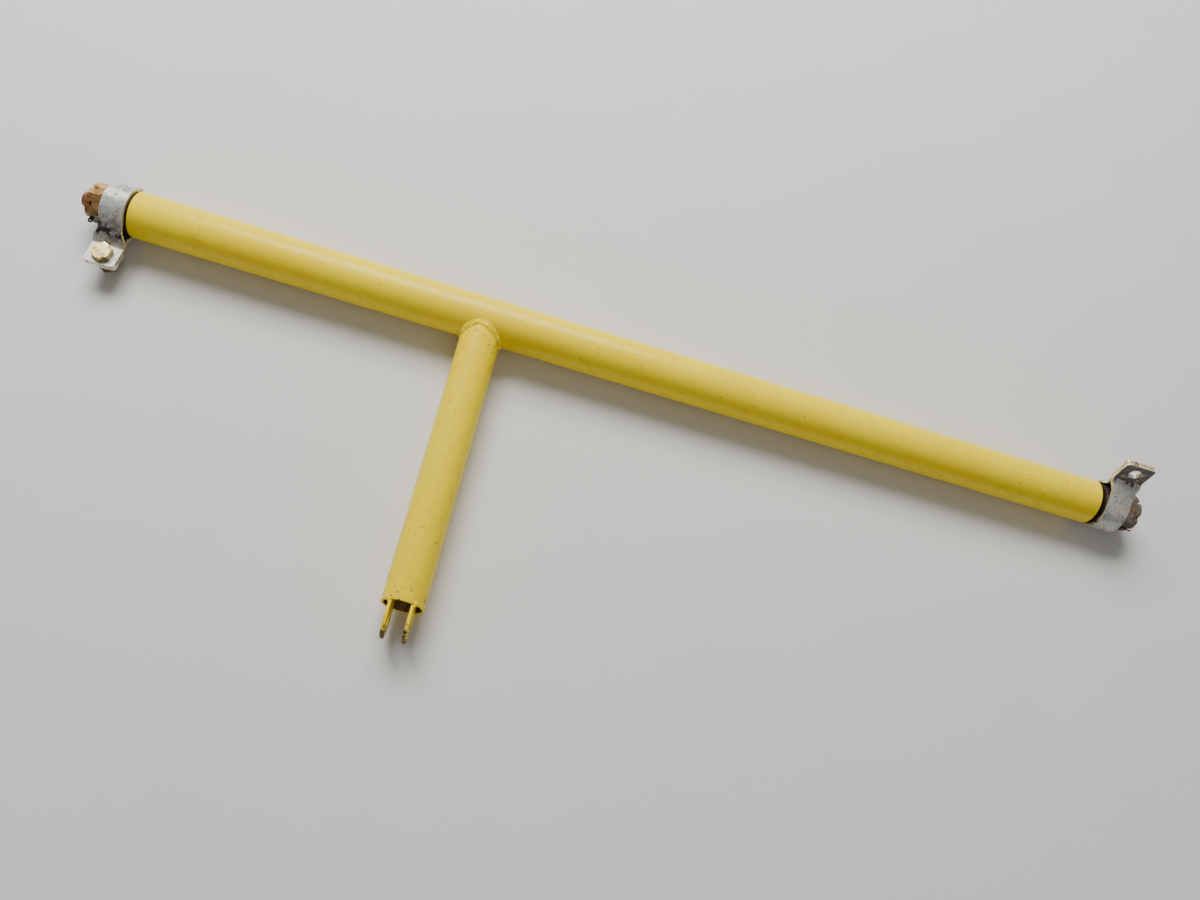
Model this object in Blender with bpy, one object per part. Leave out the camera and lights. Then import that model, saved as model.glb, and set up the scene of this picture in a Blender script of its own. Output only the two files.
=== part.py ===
"""Control torque tube: a painted cross tube with a welded control arm, hung in two swivelling straps.

The whole is modelled about the junction, where the arm's axis meets the tube's axis: +X runs along the
tube towards its long end, the arm points to -Y, and +Z is square to both. The finished assembly stands
with its origin at the bottom centre of its box.
"""

import math

import bmesh
import bpy
from mathutils import Matrix, Vector

MM = 0.001

# Cross tube and arm
TUBE_OD = 25.4 * MM
TUBE_WALL = 1.24 * MM
TUBE_LENGTH = 556.0 * MM
JUNCTION_FROM_LEFT = 195.5 * MM
ARM_OD = 22.2 * MM
ARM_WALL = 1.24 * MM
ARM_LENGTH = 160.6 * MM
ARM_LEAN = math.radians(2.0)
ARM_FAR_LIP = 3.7 * MM
WELD_LEG = 2.3 * MM
WELD_CROWN = 0.7 * MM

# Fork at the arm's end
FORK_SPACING = 11.3 * MM
FORK_PLATE = 1.6 * MM
FORK_REACH = 19.4 * MM
FORK_WIDTH = 19.0 * MM
FORK_TANG = 12.0 * MM
FORK_HOLE = 6.5 * MM

# Plug and stud at each end of the tube
PLUG_DEPTH = 22.0 * MM
COLLAR_OD = 19.0 * MM
COLLAR = 0.7 * MM
STUD_OD = 12.7 * MM
STUD_LENGTH = 29.1 * MM
THREAD_START = 15.5 * MM
THREAD_END = 24.5 * MM
PILOT_OD = 8.4 * MM
PLUG_CHAMFER = 0.6 * MM

# Stack on the stud
SHIM = 1.7 * MM
SHIM_OD = 19.0 * MM
WASHER = 1.2 * MM
WASHER_OD = 19.8 * MM
NUT_FLATS = 19.05 * MM
NUT_HEIGHT = 7.6 * MM
NUT_CHAMFER = 1.0 * MM
NUT_SLOT = 2.4 * MM
NUT_SLOT_DEPTH = 3.4 * MM
LEFT_NUT_TURN = math.radians(88.0)
RIGHT_NUT_TURN = math.radians(90.0)
COTTER_WIRE = 1.0 * MM
COTTER_GAP = 0.1 * MM
COTTER_DROP = 1.9 * MM
COTTER_HOLE = 2.9 * MM
COTTER_EYE = 1.5 * MM
COTTER_LEG = 4.0 * MM

# Bushing and folded strap
BUSHING_OD = 23.8 * MM
BUSHING_PROUD = 0.4 * MM
SHEET = 1.6 * MM
BAND = 12.7 * MM
EAR_WIDTH = 16.7 * MM
EAR_REACH = 33.7 * MM
EAR_BEND = 21.0 * MM
EAR_FACE = -3.5 * MM
EAR_BACK_BEND = 13.6 * MM
EAR_CORNER = 1.8 * MM
EAR_FLARE = 3.0 * MM
EAR_HOLE_REACH = 27.3 * MM
BEND_RADIUS = 2.2 * MM
BEND_HOLE = 2.6 * MM
BEND_HOLE_TILT = math.radians(-30.0)
LEFT_EAR_ANGLE = math.radians(8.0)
RIGHT_EAR_ANGLE = math.radians(110.8)

# Bolt through the left ear
BOLT_OD = 4.76 * MM
BOLT_LENGTH = 13.6 * MM
BOLT_FLATS = 9.5 * MM
BOLT_HEAD = 3.2 * MM
EAR_NUT_HEIGHT = 4.8 * MM
EAR_WASHER = 1.2 * MM
EAR_WASHER_OD = 11.1 * MM
HEX_CHAMFER = 0.4 * MM

# Clearances
SEAT = 0.3 * MM
RUNNING = 0.12 * MM
BOLT_PLAY = 1.7 * MM
BLANK_SLACK = 0.05 * MM

# Facets
TUBE_FACETS = 64
RING_FACETS = 48
SMALL_FACETS = 32
WIRE_FACETS = 8

# Sizes that follow from those above
EAR_HOLE = BOLT_OD + BOLT_PLAY
STRAP_RADIUS = BUSHING_OD / 2 + SEAT + SHEET / 2
LEFT_STRAP_GAP = COLLAR + SEAT + BUSHING_PROUD
RIGHT_STRAP_GAP = LEFT_STRAP_GAP + SHIM + SEAT
NUT_WASHER_START = BAND + BUSHING_PROUD + SEAT
NUT_START = NUT_WASHER_START + WASHER + SEAT


def clear_scene():
    for item in list(bpy.data.objects):
        bpy.data.objects.remove(item, do_unlink=True)


def finish(name, colour, roughness, metallic):
    """A plain painted or metal finish."""
    made = bpy.data.materials.new(name)
    made.use_nodes = True
    shader = made.node_tree.nodes["Principled BSDF"]
    shader.inputs["Base Color"].default_value = (*colour, 1.0)
    shader.inputs["Roughness"].default_value = roughness
    shader.inputs["Metallic"].default_value = metallic
    return made


def yellow_paint(name):
    return finish(name, (0.89, 0.72, 0.02), 0.28, 0.0)


def bare_steel(name):
    return finish(name, (0.42, 0.37, 0.31), 0.45, 1.0)


def dull_plating(name):
    return finish(name, (0.55, 0.55, 0.52), 0.55, 0.9)


def gold_plating(name):
    return finish(name, (0.80, 0.62, 0.38), 0.42, 0.9)


def brown_phenolic(name):
    return finish(name, (0.16, 0.08, 0.04), 0.6, 0.0)


def anchor(name, parent=None, matrix=None):
    """An empty that carries the pieces of one body or one sub-assembly."""
    empty = bpy.data.objects.new(name, None)
    bpy.context.scene.collection.objects.link(empty)
    empty.parent = parent
    if matrix is not None:
        empty.matrix_local = matrix
    return empty


def piece(name, form, paint, parent, sharp=35.0):
    """A named object with its own material, shaded smooth with sharp edges kept."""
    bmesh.ops.recalc_face_normals(form, faces=form.faces)
    mesh = bpy.data.meshes.new(name)
    form.to_mesh(mesh)
    form.free()
    mesh.shade_smooth()
    mesh.set_sharp_from_angle(angle=math.radians(sharp))
    made = bpy.data.objects.new(name, mesh)
    made.data.materials.append(paint(name + "_finish"))
    bpy.context.scene.collection.objects.link(made)
    made.parent = parent
    return made


def cutter(name, form, parent):
    """A hidden tool for a Boolean cut."""
    made = piece(name, form, bare_steel, parent)
    made.hide_render = True
    made.display_type = "WIRE"
    return made


def boolean(target, tool, operation="DIFFERENCE"):
    cut = target.modifiers.new("cut_" + tool.name, "BOOLEAN")
    cut.object = tool
    cut.operation = operation
    cut.solver = "EXACT"


def turned(profile, facets, closed=True):
    """A solid turned about the X axis from (x, radius) points; an open profile starts and ends on it."""
    form = bmesh.new()
    points = [form.verts.new((x, 0.0, radius)) for x, radius in profile]
    pairs = list(zip(points, points[1:]))
    if closed:
        pairs.append((points[-1], points[0]))
    edges = [form.edges.new(pair) for pair in pairs]
    bmesh.ops.spin(form, geom=points + edges, axis=(1, 0, 0), cent=(0, 0, 0), dvec=(0, 0, 0),
                   angle=2 * math.pi, steps=facets, use_merge=True)
    bmesh.ops.remove_doubles(form, verts=form.verts, dist=0.00001)
    return form


def ring(start, end, inner, outer, facets, chamfer=0.0):
    """A washer, bushing or tube between two stations on X."""
    profile = [(start, inner), (start, outer - chamfer), (start + chamfer, outer),
               (end - chamfer, outer), (end, outer - chamfer), (end, inner)]
    if not chamfer:
        profile = [(start, inner), (start, outer), (end, outer), (end, inner)]
    return turned(profile, facets)


def rod(start, end, radius, facets=SMALL_FACETS):
    """A solid round bar along X."""
    return turned([(start, 0.0), (start, radius), (end, radius), (end, 0.0)], facets, closed=False)


def prism(outline, start, end):
    """An outline of (y, z) points pushed out along X."""
    form = bmesh.new()
    face = form.faces.new([form.verts.new((start, y, z)) for y, z in outline])
    pushed = bmesh.ops.extrude_face_region(form, geom=[face])
    moved = [item for item in pushed["geom"] if isinstance(item, bmesh.types.BMVert)]
    bmesh.ops.translate(form, verts=moved, vec=(end - start, 0, 0))
    return form


def arc(centre, radius, start, end, steps):
    """Points along an arc, both ends included."""
    for index in range(steps + 1):
        angle = start + (end - start) * index / steps
        yield centre[0] + radius * math.cos(angle), centre[1] + radius * math.sin(angle)


def hexagon(flats):
    corner = flats / math.sqrt(3)
    return [(corner * math.cos(math.radians(60 * index)), corner * math.sin(math.radians(60 * index)))
            for index in range(6)]


def hex_blank(name, start, height, flats, bore, chamfer, paint, parent):
    """A chamfered hexagon nut or head along X: a length of hexagon bar kept inside a turned barrel."""
    corner = flats / math.sqrt(3) + BLANK_SLACK
    low, high = start - chamfer, start + height + chamfer
    profile = [(low, bore), (low, corner - 2 * chamfer), (start + chamfer, corner),
               (start + height - chamfer, corner), (high, corner - 2 * chamfer), (high, bore)]
    nut = piece(name, prism(hexagon(flats), start, start + height), paint, parent)
    barrel = turned(profile, SMALL_FACETS * 2, closed=bore > 0.0)
    boolean(nut, cutter(name + "_barrel", barrel, parent), "INTERSECT")
    return nut


def swept(path, radius, facets, normal):
    """Round wire along a path that lies in a plane square to normal."""
    form = bmesh.new()
    loops = []
    for index, point in enumerate(path):
        ahead = path[min(index + 1, len(path) - 1)]
        behind = path[max(index - 1, 0)]
        along = (ahead - behind).normalized()
        side = along.cross(normal)
        loops.append([form.verts.new(point + radius * (math.cos(turn) * side + math.sin(turn) * normal))
                      for turn in (2 * math.pi * step / facets for step in range(facets))])
    for first, second in zip(loops, loops[1:]):
        for step in range(facets):
            following = (step + 1) % facets
            form.faces.new((first[step], first[following], second[following], second[step]))
    form.faces.new(loops[0])
    form.faces.new(list(reversed(loops[-1])))
    return form


def saddle_depth(across, height, radius):
    """How far down the leaning arm a line meets a cylinder about the tube's axis."""
    return (math.sqrt(radius ** 2 - height ** 2) + across * math.sin(ARM_LEAN)) / math.cos(ARM_LEAN)


def end_depth(height):
    """The arm's slanted end: longest on the far side, which is -Z."""
    return ARM_LENGTH + ARM_FAR_LIP * (0.5 - height / ARM_OD)


def main_tube(parent):
    left = -JUNCTION_FROM_LEFT
    form = ring(left, left + TUBE_LENGTH, TUBE_OD / 2 - TUBE_WALL, TUBE_OD / 2, TUBE_FACETS)
    return piece("main_tube", form, yellow_paint, parent)


def arm_tube(parent):
    """The arm, its top cut to the tube's round and its open end cut slanting."""
    form = bmesh.new()
    saddle = TUBE_OD / 2 + SEAT
    loops = []
    for radius, depth in ((ARM_OD / 2, "top"), (ARM_OD / 2, "end"),
                          (ARM_OD / 2 - ARM_WALL, "end"), (ARM_OD / 2 - ARM_WALL, "top")):
        loop = []
        for step in range(TUBE_FACETS):
            turn = 2 * math.pi * step / TUBE_FACETS
            across, height = radius * math.cos(turn), radius * math.sin(turn)
            down = saddle_depth(across, height, saddle) if depth == "top" else end_depth(height)
            loop.append(form.verts.new((across, -down, height)))
        loops.append(loop)
    for first, second in zip(loops, loops[1:] + loops[:1]):
        for step in range(TUBE_FACETS):
            following = (step + 1) % TUBE_FACETS
            form.faces.new((first[step], first[following], second[following], second[step]))
    return piece("arm_tube", form, yellow_paint, parent)


def junction_weld(parent):
    """A fillet bead lofted round the line where the arm meets the tube."""
    form = bmesh.new()
    saddle = TUBE_OD / 2 + SEAT
    skin = ARM_OD / 2 + SEAT
    along_tube = Vector((math.cos(ARM_LEAN), -math.sin(ARM_LEAN), 0.0))
    down_arm = Vector((0.0, -1.0, 0.0))
    loops = []
    for step in range(TUBE_FACETS):
        turn = 2 * math.pi * step / TUBE_FACETS
        across, height = skin * math.cos(turn), skin * math.sin(turn)
        corner = Vector((across, -saddle_depth(across, height, saddle), height))
        outward = Vector((math.cos(turn), 0.0, math.sin(turn)))
        radial = corner - corner.dot(along_tube) * along_tube
        radial.normalize()
        tangent = (outward - outward.dot(radial) * radial).normalized()
        toe = corner + WELD_LEG * tangent
        spine = toe.dot(along_tube) * along_tube
        toe = spine + saddle * (toe - spine).normalized()
        heel = corner + WELD_LEG * down_arm
        crown = (outward + radial).normalized() * WELD_CROWN
        section = [corner, toe, toe.lerp(heel, 0.25) + crown * 0.8, toe.lerp(heel, 0.5) + crown,
                   toe.lerp(heel, 0.75) + crown * 0.8, heel]
        loops.append([form.verts.new(point) for point in section])
    for first, second in zip(loops, loops[1:] + loops[:1]):
        for index in range(len(first)):
            following = (index + 1) % len(first)
            form.faces.new((first[index], first[following], second[following], second[index]))
    return piece("junction_weld", form, yellow_paint, parent, sharp=50.0)


def fork_outline():
    """Side view of a fork plate: a tang inside the arm, slanted shoulders and a full round end."""
    half = FORK_WIDTH / 2
    inside = FORK_SPACING / 2 + FORK_PLATE / 2
    tang = math.sqrt((ARM_OD / 2 - ARM_WALL) ** 2 - inside ** 2) - SEAT
    tip = ARM_LENGTH + FORK_REACH - half
    points = [(-(ARM_LENGTH - FORK_TANG), -tang), (-(end_depth(-tang) + SEAT), -tang),
              (-(end_depth(-half) + SEAT), -half)]
    points += [(y, z) for y, z in arc((-tip, 0.0), half, -math.pi / 2, -3 * math.pi / 2, 20)]
    points += [(-(end_depth(half) + SEAT), half), (-(end_depth(tang) + SEAT), tang),
               (-(ARM_LENGTH - FORK_TANG), tang)]
    return points


def fork_plates(parent):
    """Two flat lugs welded into the arm's open end, drilled for the control rod's pin."""
    pin = rod(-FORK_SPACING, FORK_SPACING, FORK_HOLE / 2)
    bmesh.ops.translate(pin, verts=pin.verts, vec=(0, -(ARM_LENGTH + FORK_REACH - FORK_WIDTH / 2), 0))
    drill = cutter("fork_drill", pin, parent)
    for name, side in (("fork_plate_left", -1), ("fork_plate_right", 1)):
        middle = side * FORK_SPACING / 2
        plate = piece(name, prism(fork_outline(), middle - FORK_PLATE / 2, middle + FORK_PLATE / 2),
                      yellow_paint, parent)
        boolean(plate, drill)


def end_plug(side, strap_gap, turn, parent):
    """Turned plug in the tube's end, with a collar, a journal, a thread and a reduced tip."""
    bore = TUBE_OD / 2 - TUBE_WALL - SEAT
    thread = STUD_OD / 2 - SEAT
    profile = [(-PLUG_DEPTH, 0.0), (-PLUG_DEPTH, bore - PLUG_CHAMFER), (PLUG_CHAMFER - PLUG_DEPTH, bore),
               (0.0, bore), (0.0, COLLAR_OD / 2), (COLLAR, COLLAR_OD / 2), (COLLAR, STUD_OD / 2),
               (THREAD_START, STUD_OD / 2), (THREAD_START, thread), (THREAD_END - PLUG_CHAMFER, thread),
               (THREAD_END, thread - PLUG_CHAMFER), (THREAD_END, PILOT_OD / 2),
               (STUD_LENGTH - PLUG_CHAMFER, PILOT_OD / 2), (STUD_LENGTH, PILOT_OD / 2 - PLUG_CHAMFER),
               (STUD_LENGTH, 0.0)]
    plug = piece(side + "_end_plug", turned(profile, RING_FACETS, closed=False), bare_steel, parent)
    hole = rod(-STUD_OD, STUD_OD, COTTER_HOLE / 2, SMALL_FACETS // 2)
    drill = cutter(side + "_cotter_drill", hole, parent)
    drill.matrix_local = (Matrix.Translation((cotter_station(strap_gap), 0, 0))
                          @ Matrix.Rotation(turn, 4, "X") @ Matrix.Rotation(math.pi / 2, 4, "Y"))
    boolean(plug, drill)


def cotter_station(strap_gap):
    """Where the cotter pin crosses the stud, measured out from the tube's end."""
    return strap_gap + NUT_START + NUT_HEIGHT - COTTER_DROP


def castle_nut(side, strap_gap, turn, parent):
    start = strap_gap + NUT_START
    nut = hex_blank(side + "_castle_nut", start, NUT_HEIGHT, NUT_FLATS, STUD_OD / 2, NUT_CHAMFER,
                    gold_plating, parent)
    slot_floor = start + NUT_HEIGHT - NUT_SLOT_DEPTH
    for number in range(3):
        outline = [(-NUT_FLATS, -NUT_SLOT / 2), (NUT_FLATS, -NUT_SLOT / 2),
                   (NUT_FLATS, NUT_SLOT / 2), (-NUT_FLATS, NUT_SLOT / 2)]
        slot = cutter(f"{side}_nut_slot_{number}", prism(outline, slot_floor, start + NUT_HEIGHT + MM), nut)
        slot.rotation_euler.x = math.radians(90 + 60 * number)
        boolean(nut, slot)
    nut.rotation_euler.x = turn


def cotter_pin(side, strap_gap, turn, parent):
    """One folded wire: a leg bent out, the run through the stud, the eye, the run back and a leg bent in."""
    run = (COTTER_WIRE + COTTER_GAP) / 2
    reach = NUT_FLATS / 2 + SEAT + COTTER_WIRE
    bend = COTTER_WIRE
    eye = Vector((0.0, 0.0, -(reach + COTTER_EYE)))
    path = [Vector((run + COTTER_LEG, 0, reach))]
    path += [Vector((x, 0, z)) for x, z in arc((run + bend, reach - bend), bend, math.pi / 2, math.pi, 4)]
    first = math.asin(run / COTTER_EYE)
    path += [eye + Vector((z, 0, x)) for x, z in arc((0, 0), COTTER_EYE, first, 2 * math.pi - first, 14)]
    path += [Vector((x, 0, z)) for x, z in arc((-run - bend, reach - bend), bend, 0.0, math.pi / 2, 4)]
    path += [Vector((-run - COTTER_LEG, 0, reach))]
    wire = piece(side + "_cotter_pin", swept(path, COTTER_WIRE / 2, WIRE_FACETS, Vector((0, 1, 0))),
                 bare_steel, parent)
    wire.matrix_local = Matrix.Translation((cotter_station(strap_gap), 0, 0)) @ Matrix.Rotation(turn, 4, "X")


def end_stack(side, strap_gap, turn, parent):
    """Everything fixed to the tube at one end; +X points out of the tube."""
    end_plug(side, strap_gap, turn, parent)
    start = strap_gap + NUT_WASHER_START
    bore = STUD_OD / 2 + SEAT
    piece(side + "_stud_washer", ring(start, start + WASHER, bore, WASHER_OD / 2, RING_FACETS),
          dull_plating, parent)
    castle_nut(side, strap_gap, turn, parent)
    cotter_pin(side, strap_gap, turn, parent)


def shim_washer(parent):
    """The brown spacer seen between the tube and the right strap."""
    start = COLLAR + SEAT
    form = ring(start, start + SHIM, STUD_OD / 2 + SEAT, SHIM_OD / 2, RING_FACETS)
    piece("right_shim_washer", form, brown_phenolic, parent)


def corner_fillet(before, corner, after, radius, steps):
    """Points round a corner of the strap's centre line."""
    towards = (before - corner).normalized()
    onwards = (after - corner).normalized()
    half = towards.angle(onwards) / 2
    centre = corner + (towards + onwards).normalized() * radius / math.sin(half)
    start = corner + towards * radius / math.tan(half)
    stop = corner + onwards * radius / math.tan(half)
    for index in range(steps + 1):
        mixed = start.lerp(stop, index / steps) - centre
        yield centre + mixed.normalized() * radius


def strap_line():
    """Centre line of the folded strip in (reach, height): front ear, bend, ring, bend, back ear."""
    front = EAR_FACE - SHEET / 2
    back = EAR_FACE - 1.5 * SHEET - SEAT
    corner_front = Vector((EAR_BEND, front))
    corner_back = Vector((EAR_BACK_BEND, back))
    start = math.atan2(front, EAR_BEND) + math.acos(STRAP_RADIUS / corner_front.length)
    stop = 2 * math.pi + math.atan2(back, EAR_BACK_BEND) - math.acos(STRAP_RADIUS / corner_back.length)
    circle = [Vector(point) for point in arc((0, 0), STRAP_RADIUS, start, stop, 36)]
    line = [Vector((EAR_REACH - inset, front)) for inset in ear_stations()]
    line += list(corner_fillet(line[-1], corner_front, circle[0], BEND_RADIUS, 5))
    line += [line[-1].lerp(circle[0], share) for share in (0.15, 0.3, 0.5, 0.75)]
    line += circle
    line += list(corner_fillet(circle[-1], corner_back, Vector((EAR_REACH, back)), BEND_RADIUS, 4))
    line += [Vector((EAR_REACH - inset, back)) for inset in reversed(ear_stations())]
    return line


def ear_stations():
    """Distances in from the ear's edge: along the rounded corner, then the straight."""
    corner = [EAR_CORNER * (1 - math.cos(math.radians(angle))) for angle in (0, 30, 60, 90)]
    return corner + [EAR_REACH - EAR_BEND - BEND_RADIUS * 1.6]


def strap_half_width(point):
    """The band is narrow round the bushing and spreads into the wider, round-cornered ear."""
    share = min(max(1 - (EAR_BEND - BEND_RADIUS - point.x) / EAR_FLARE, 0.0), 1.0)
    width = BAND + (EAR_WIDTH - BAND) * share ** 2 * (3 - 2 * share)
    inset = EAR_REACH - point.x
    if inset < EAR_CORNER:
        width -= 2 * (EAR_CORNER - math.sqrt(max(EAR_CORNER ** 2 - (EAR_CORNER - inset) ** 2, 0.0)))
    return width / 2


def strap(side, parent):
    """One folded strip of sheet with a double ear, drilled through the ear and at the front bend."""
    form = bmesh.new()
    rows = []
    for point in strap_line():
        half = strap_half_width(point)
        rows.append([form.verts.new((x, point.x, point.y)) for x in (-half, 0.0, half)])
    for first, second in zip(rows, rows[1:]):
        for index in range(2):
            form.faces.new((first[index], first[index + 1], second[index + 1], second[index]))
    made = piece(side + "_strap", form, dull_plating, parent)
    solid = made.modifiers.new("sheet", "SOLIDIFY")
    solid.thickness = SHEET
    solid.offset = 0.0
    solid.use_even_offset = True
    ear = rod(-2 * SHEET - SEAT, 2 * SHEET, EAR_HOLE / 2)
    ear_drill = cutter(side + "_ear_drill", ear, parent)
    middle = EAR_FACE - SHEET
    ear_drill.matrix_local = (Matrix.Translation((0, EAR_HOLE_REACH, middle))
                              @ Matrix.Rotation(-math.pi / 2, 4, "Y")
                              @ Matrix.Rotation(math.pi / SMALL_FACETS, 4, "X"))
    boolean(made, ear_drill)
    bend_drill = cutter(side + "_bend_drill", rod(-SHEET, SHEET, BEND_HOLE / 2, SMALL_FACETS // 2), parent)
    bend_drill.matrix_local = (Matrix.Translation((0, EAR_BEND - SHEET / 2, EAR_FACE))
                               @ Matrix.Rotation(BEND_HOLE_TILT, 4, "X")
                               @ Matrix.Rotation(-math.pi / 2, 4, "Y")
                               @ Matrix.Rotation(math.pi * 2 / SMALL_FACETS, 4, "X"))
    boolean(made, bend_drill)


def bushing(side, parent):
    half = BAND / 2 + BUSHING_PROUD
    form = ring(-half, half, STUD_OD / 2 + RUNNING, BUSHING_OD / 2, RING_FACETS, SEAT)
    piece(side + "_bushing", form, brown_phenolic, parent)


def ear_bolt(parent):
    """Bolt, washer and nut that close the left ear; built along X, then stood across the ear."""
    head_seat = EAR_FACE + SEAT
    bore = BOLT_OD / 2 + SEAT
    stand = Matrix.Translation((0, EAR_HOLE_REACH, 0)) @ Matrix.Rotation(-math.pi / 2, 4, "Y")
    axis = anchor("left_ear_bolt_axis", parent, stand)
    washer_top = EAR_FACE - 2 * SHEET - 2 * SEAT
    nut_top = washer_top - EAR_WASHER - SEAT
    bolt = hex_blank("left_ear_bolt", head_seat, BOLT_HEAD, BOLT_FLATS, 0.0, HEX_CHAMFER,
                     dull_plating, axis)
    shank = cutter("left_ear_bolt_shank", rod(EAR_FACE - BOLT_LENGTH, head_seat + SEAT, BOLT_OD / 2), axis)
    boolean(bolt, shank, "UNION")
    washer = ring(washer_top - EAR_WASHER, washer_top, bore, EAR_WASHER_OD / 2, SMALL_FACETS)
    piece("left_ear_washer", washer, dull_plating, axis)
    hex_blank("left_ear_nut", nut_top - EAR_NUT_HEIGHT, EAR_NUT_HEIGHT, BOLT_FLATS, bore, HEX_CHAMFER,
              bare_steel, axis)


def bracket_place(outward, strap_gap, tube_end, angle):
    """Strap frame: X out of the tube, Y along the ear, Z from the ear's back to its front."""
    reach = Vector((0, -math.cos(angle), math.sin(angle)))
    out = Vector((outward, 0, 0))
    turned_frame = Matrix((out, reach, out.cross(reach))).transposed().to_4x4()
    return Matrix.Translation((tube_end + outward * (strap_gap + BAND / 2), 0, 0)) @ turned_frame


def stand_on_origin(root):
    """Move the whole so that its origin is the bottom centre of its box."""
    bpy.context.view_layer.update()
    depsgraph = bpy.context.evaluated_depsgraph_get()
    corners = []
    for item in bpy.context.scene.objects:
        if item.type == "MESH" and not item.hide_render:
            shown = item.evaluated_get(depsgraph)
            corners += [shown.matrix_world @ vertex.co for vertex in shown.data.vertices]
    low = [min(corner[axis] for corner in corners) for axis in range(3)]
    high = [max(corner[axis] for corner in corners) for axis in range(3)]
    root.location = (-(low[0] + high[0]) / 2, -(low[1] + high[1]) / 2, -low[2])


def build():
    clear_scene()
    root = anchor("torque_tube")
    main_tube(root)
    arm_axis = anchor("arm_axis", root, Matrix.Rotation(ARM_LEAN, 4, "Z"))
    arm_tube(arm_axis)
    junction_weld(arm_axis)
    fork_plates(arm_axis)

    left_end = -JUNCTION_FROM_LEFT
    right_end = left_end + TUBE_LENGTH
    half_turn = Matrix.Rotation(math.pi, 4, "Z")
    left_stack = anchor("left_stack", root, Matrix.Translation((left_end, 0, 0)) @ half_turn)
    right_stack = anchor("right_stack", root, Matrix.Translation((right_end, 0, 0)))
    end_stack("left", LEFT_STRAP_GAP, LEFT_NUT_TURN, left_stack)
    end_stack("right", RIGHT_STRAP_GAP, RIGHT_NUT_TURN, right_stack)
    shim_washer(right_stack)

    left_bracket = anchor("left_bracket_swivel_axis", root,
                          bracket_place(-1, LEFT_STRAP_GAP, left_end, LEFT_EAR_ANGLE))
    right_bracket = anchor("right_bracket_swivel_axis", root,
                           bracket_place(1, RIGHT_STRAP_GAP, right_end, RIGHT_EAR_ANGLE))
    for side, bracket in (("left", left_bracket), ("right", right_bracket)):
        strap(side, bracket)
        bushing(side, bracket)
    ear_bolt(left_bracket)
    stand_on_origin(root)


build()
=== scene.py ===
import math

import bmesh
import bpy
from mathutils import Matrix, Vector, noise


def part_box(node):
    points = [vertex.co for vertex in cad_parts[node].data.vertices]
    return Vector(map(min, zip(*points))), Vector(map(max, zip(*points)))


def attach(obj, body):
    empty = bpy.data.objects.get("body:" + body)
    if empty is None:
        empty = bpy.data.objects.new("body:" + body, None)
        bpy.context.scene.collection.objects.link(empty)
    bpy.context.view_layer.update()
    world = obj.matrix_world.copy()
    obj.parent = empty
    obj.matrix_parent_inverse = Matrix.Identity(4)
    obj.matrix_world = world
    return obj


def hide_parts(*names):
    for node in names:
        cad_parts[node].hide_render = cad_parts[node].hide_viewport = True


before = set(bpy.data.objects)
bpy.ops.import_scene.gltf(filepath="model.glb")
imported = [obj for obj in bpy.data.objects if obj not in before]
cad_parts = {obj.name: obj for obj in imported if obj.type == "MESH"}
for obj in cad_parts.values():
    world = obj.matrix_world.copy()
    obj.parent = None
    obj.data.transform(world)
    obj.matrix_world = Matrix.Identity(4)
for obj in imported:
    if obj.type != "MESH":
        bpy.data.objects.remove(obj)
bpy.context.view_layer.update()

mm = 0.001
scene = bpy.context.scene

# every form below is drawn in millimetres and scaled once, when it is seated
tubeLow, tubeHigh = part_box("main_tube")
axisY, axisZ = (tubeLow.y + tubeHigh.y) / 2, (tubeLow.z + tubeHigh.z) / 2
junction = Vector((tubeLow.x + 195.5 * mm, axisY, axisZ))
lean = math.radians(2.0)
armFrame = Matrix.Translation(junction) @ Matrix.Rotation(lean, 4, "Z")
leftEnd = Matrix.Translation((tubeLow.x, axisY, axisZ)) @ Matrix.Rotation(math.pi, 4, "Z")
rightEnd = Matrix.Translation((tubeHigh.x, axisY, axisZ))
seatGap = 0.3        # pieces that touch on the real part stand this far apart, as the solids do
bandHalf = 6.35


def bracketFrame(outward, end, gap, angle):
    # X out of the tube, Y along the ear, Z from the ear's back to its front
    reach = Vector((0, -math.cos(angle), math.sin(angle)))
    out = Vector((outward, 0, 0))
    turned = Matrix((out, reach, out.cross(reach))).transposed().to_4x4()
    return Matrix.Translation((end + outward * (gap + bandHalf) * mm, axisY, axisZ)) @ turned


leftBracket = bracketFrame(-1, tubeLow.x, 1.4, math.radians(8.0))
rightBracket = bracketFrame(1, tubeHigh.x, 3.4, math.radians(110.8))


# shapes

def softened(outline, amount, steps=3):
    # rounds every corner of a closed outline
    rounded = []
    for index, corner in enumerate(outline):
        here = Vector(corner)
        before, after = Vector(outline[index - 1]), Vector(outline[(index + 1) % len(outline)])
        entry = here + (before - here).normalized() * min(amount, (before - here).length * 0.45)
        leave = here + (after - here).normalized() * min(amount, (after - here).length * 0.45)
        for step in range(steps + 1):
            share = step / steps
            rounded.append(tuple(entry.lerp(here, share).lerp(here.lerp(leave, share), share)))
    return rounded


def turnedForm(profile, facets, closed=True):
    # a profile of (station, radius) points spun about X
    form = bmesh.new()
    points = [form.verts.new((station, 0.0, radius)) for station, radius in profile]
    edges = [form.edges.new(pair) for pair in zip(points, points[1:])]
    if closed:
        edges.append(form.edges.new((points[-1], points[0])))
    bmesh.ops.spin(form, geom=points + edges, axis=(1, 0, 0), cent=(0, 0, 0), dvec=(0, 0, 0),
                   angle=2 * math.pi, steps=facets, use_merge=True)
    bmesh.ops.remove_doubles(form, verts=form.verts, dist=0.002)
    bmesh.ops.recalc_face_normals(form, faces=form.faces)
    return form


def rodForm(start, end, radius, facets):
    return turnedForm([(start, 0.0), (start, radius), (end, radius), (end, 0.0)], facets, closed=False)


def ringForm(start, end, inner, outer, soft, facets=128):
    return turnedForm(softened([(start, inner), (start, outer), (end, outer), (end, inner)], soft), facets)


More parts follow.
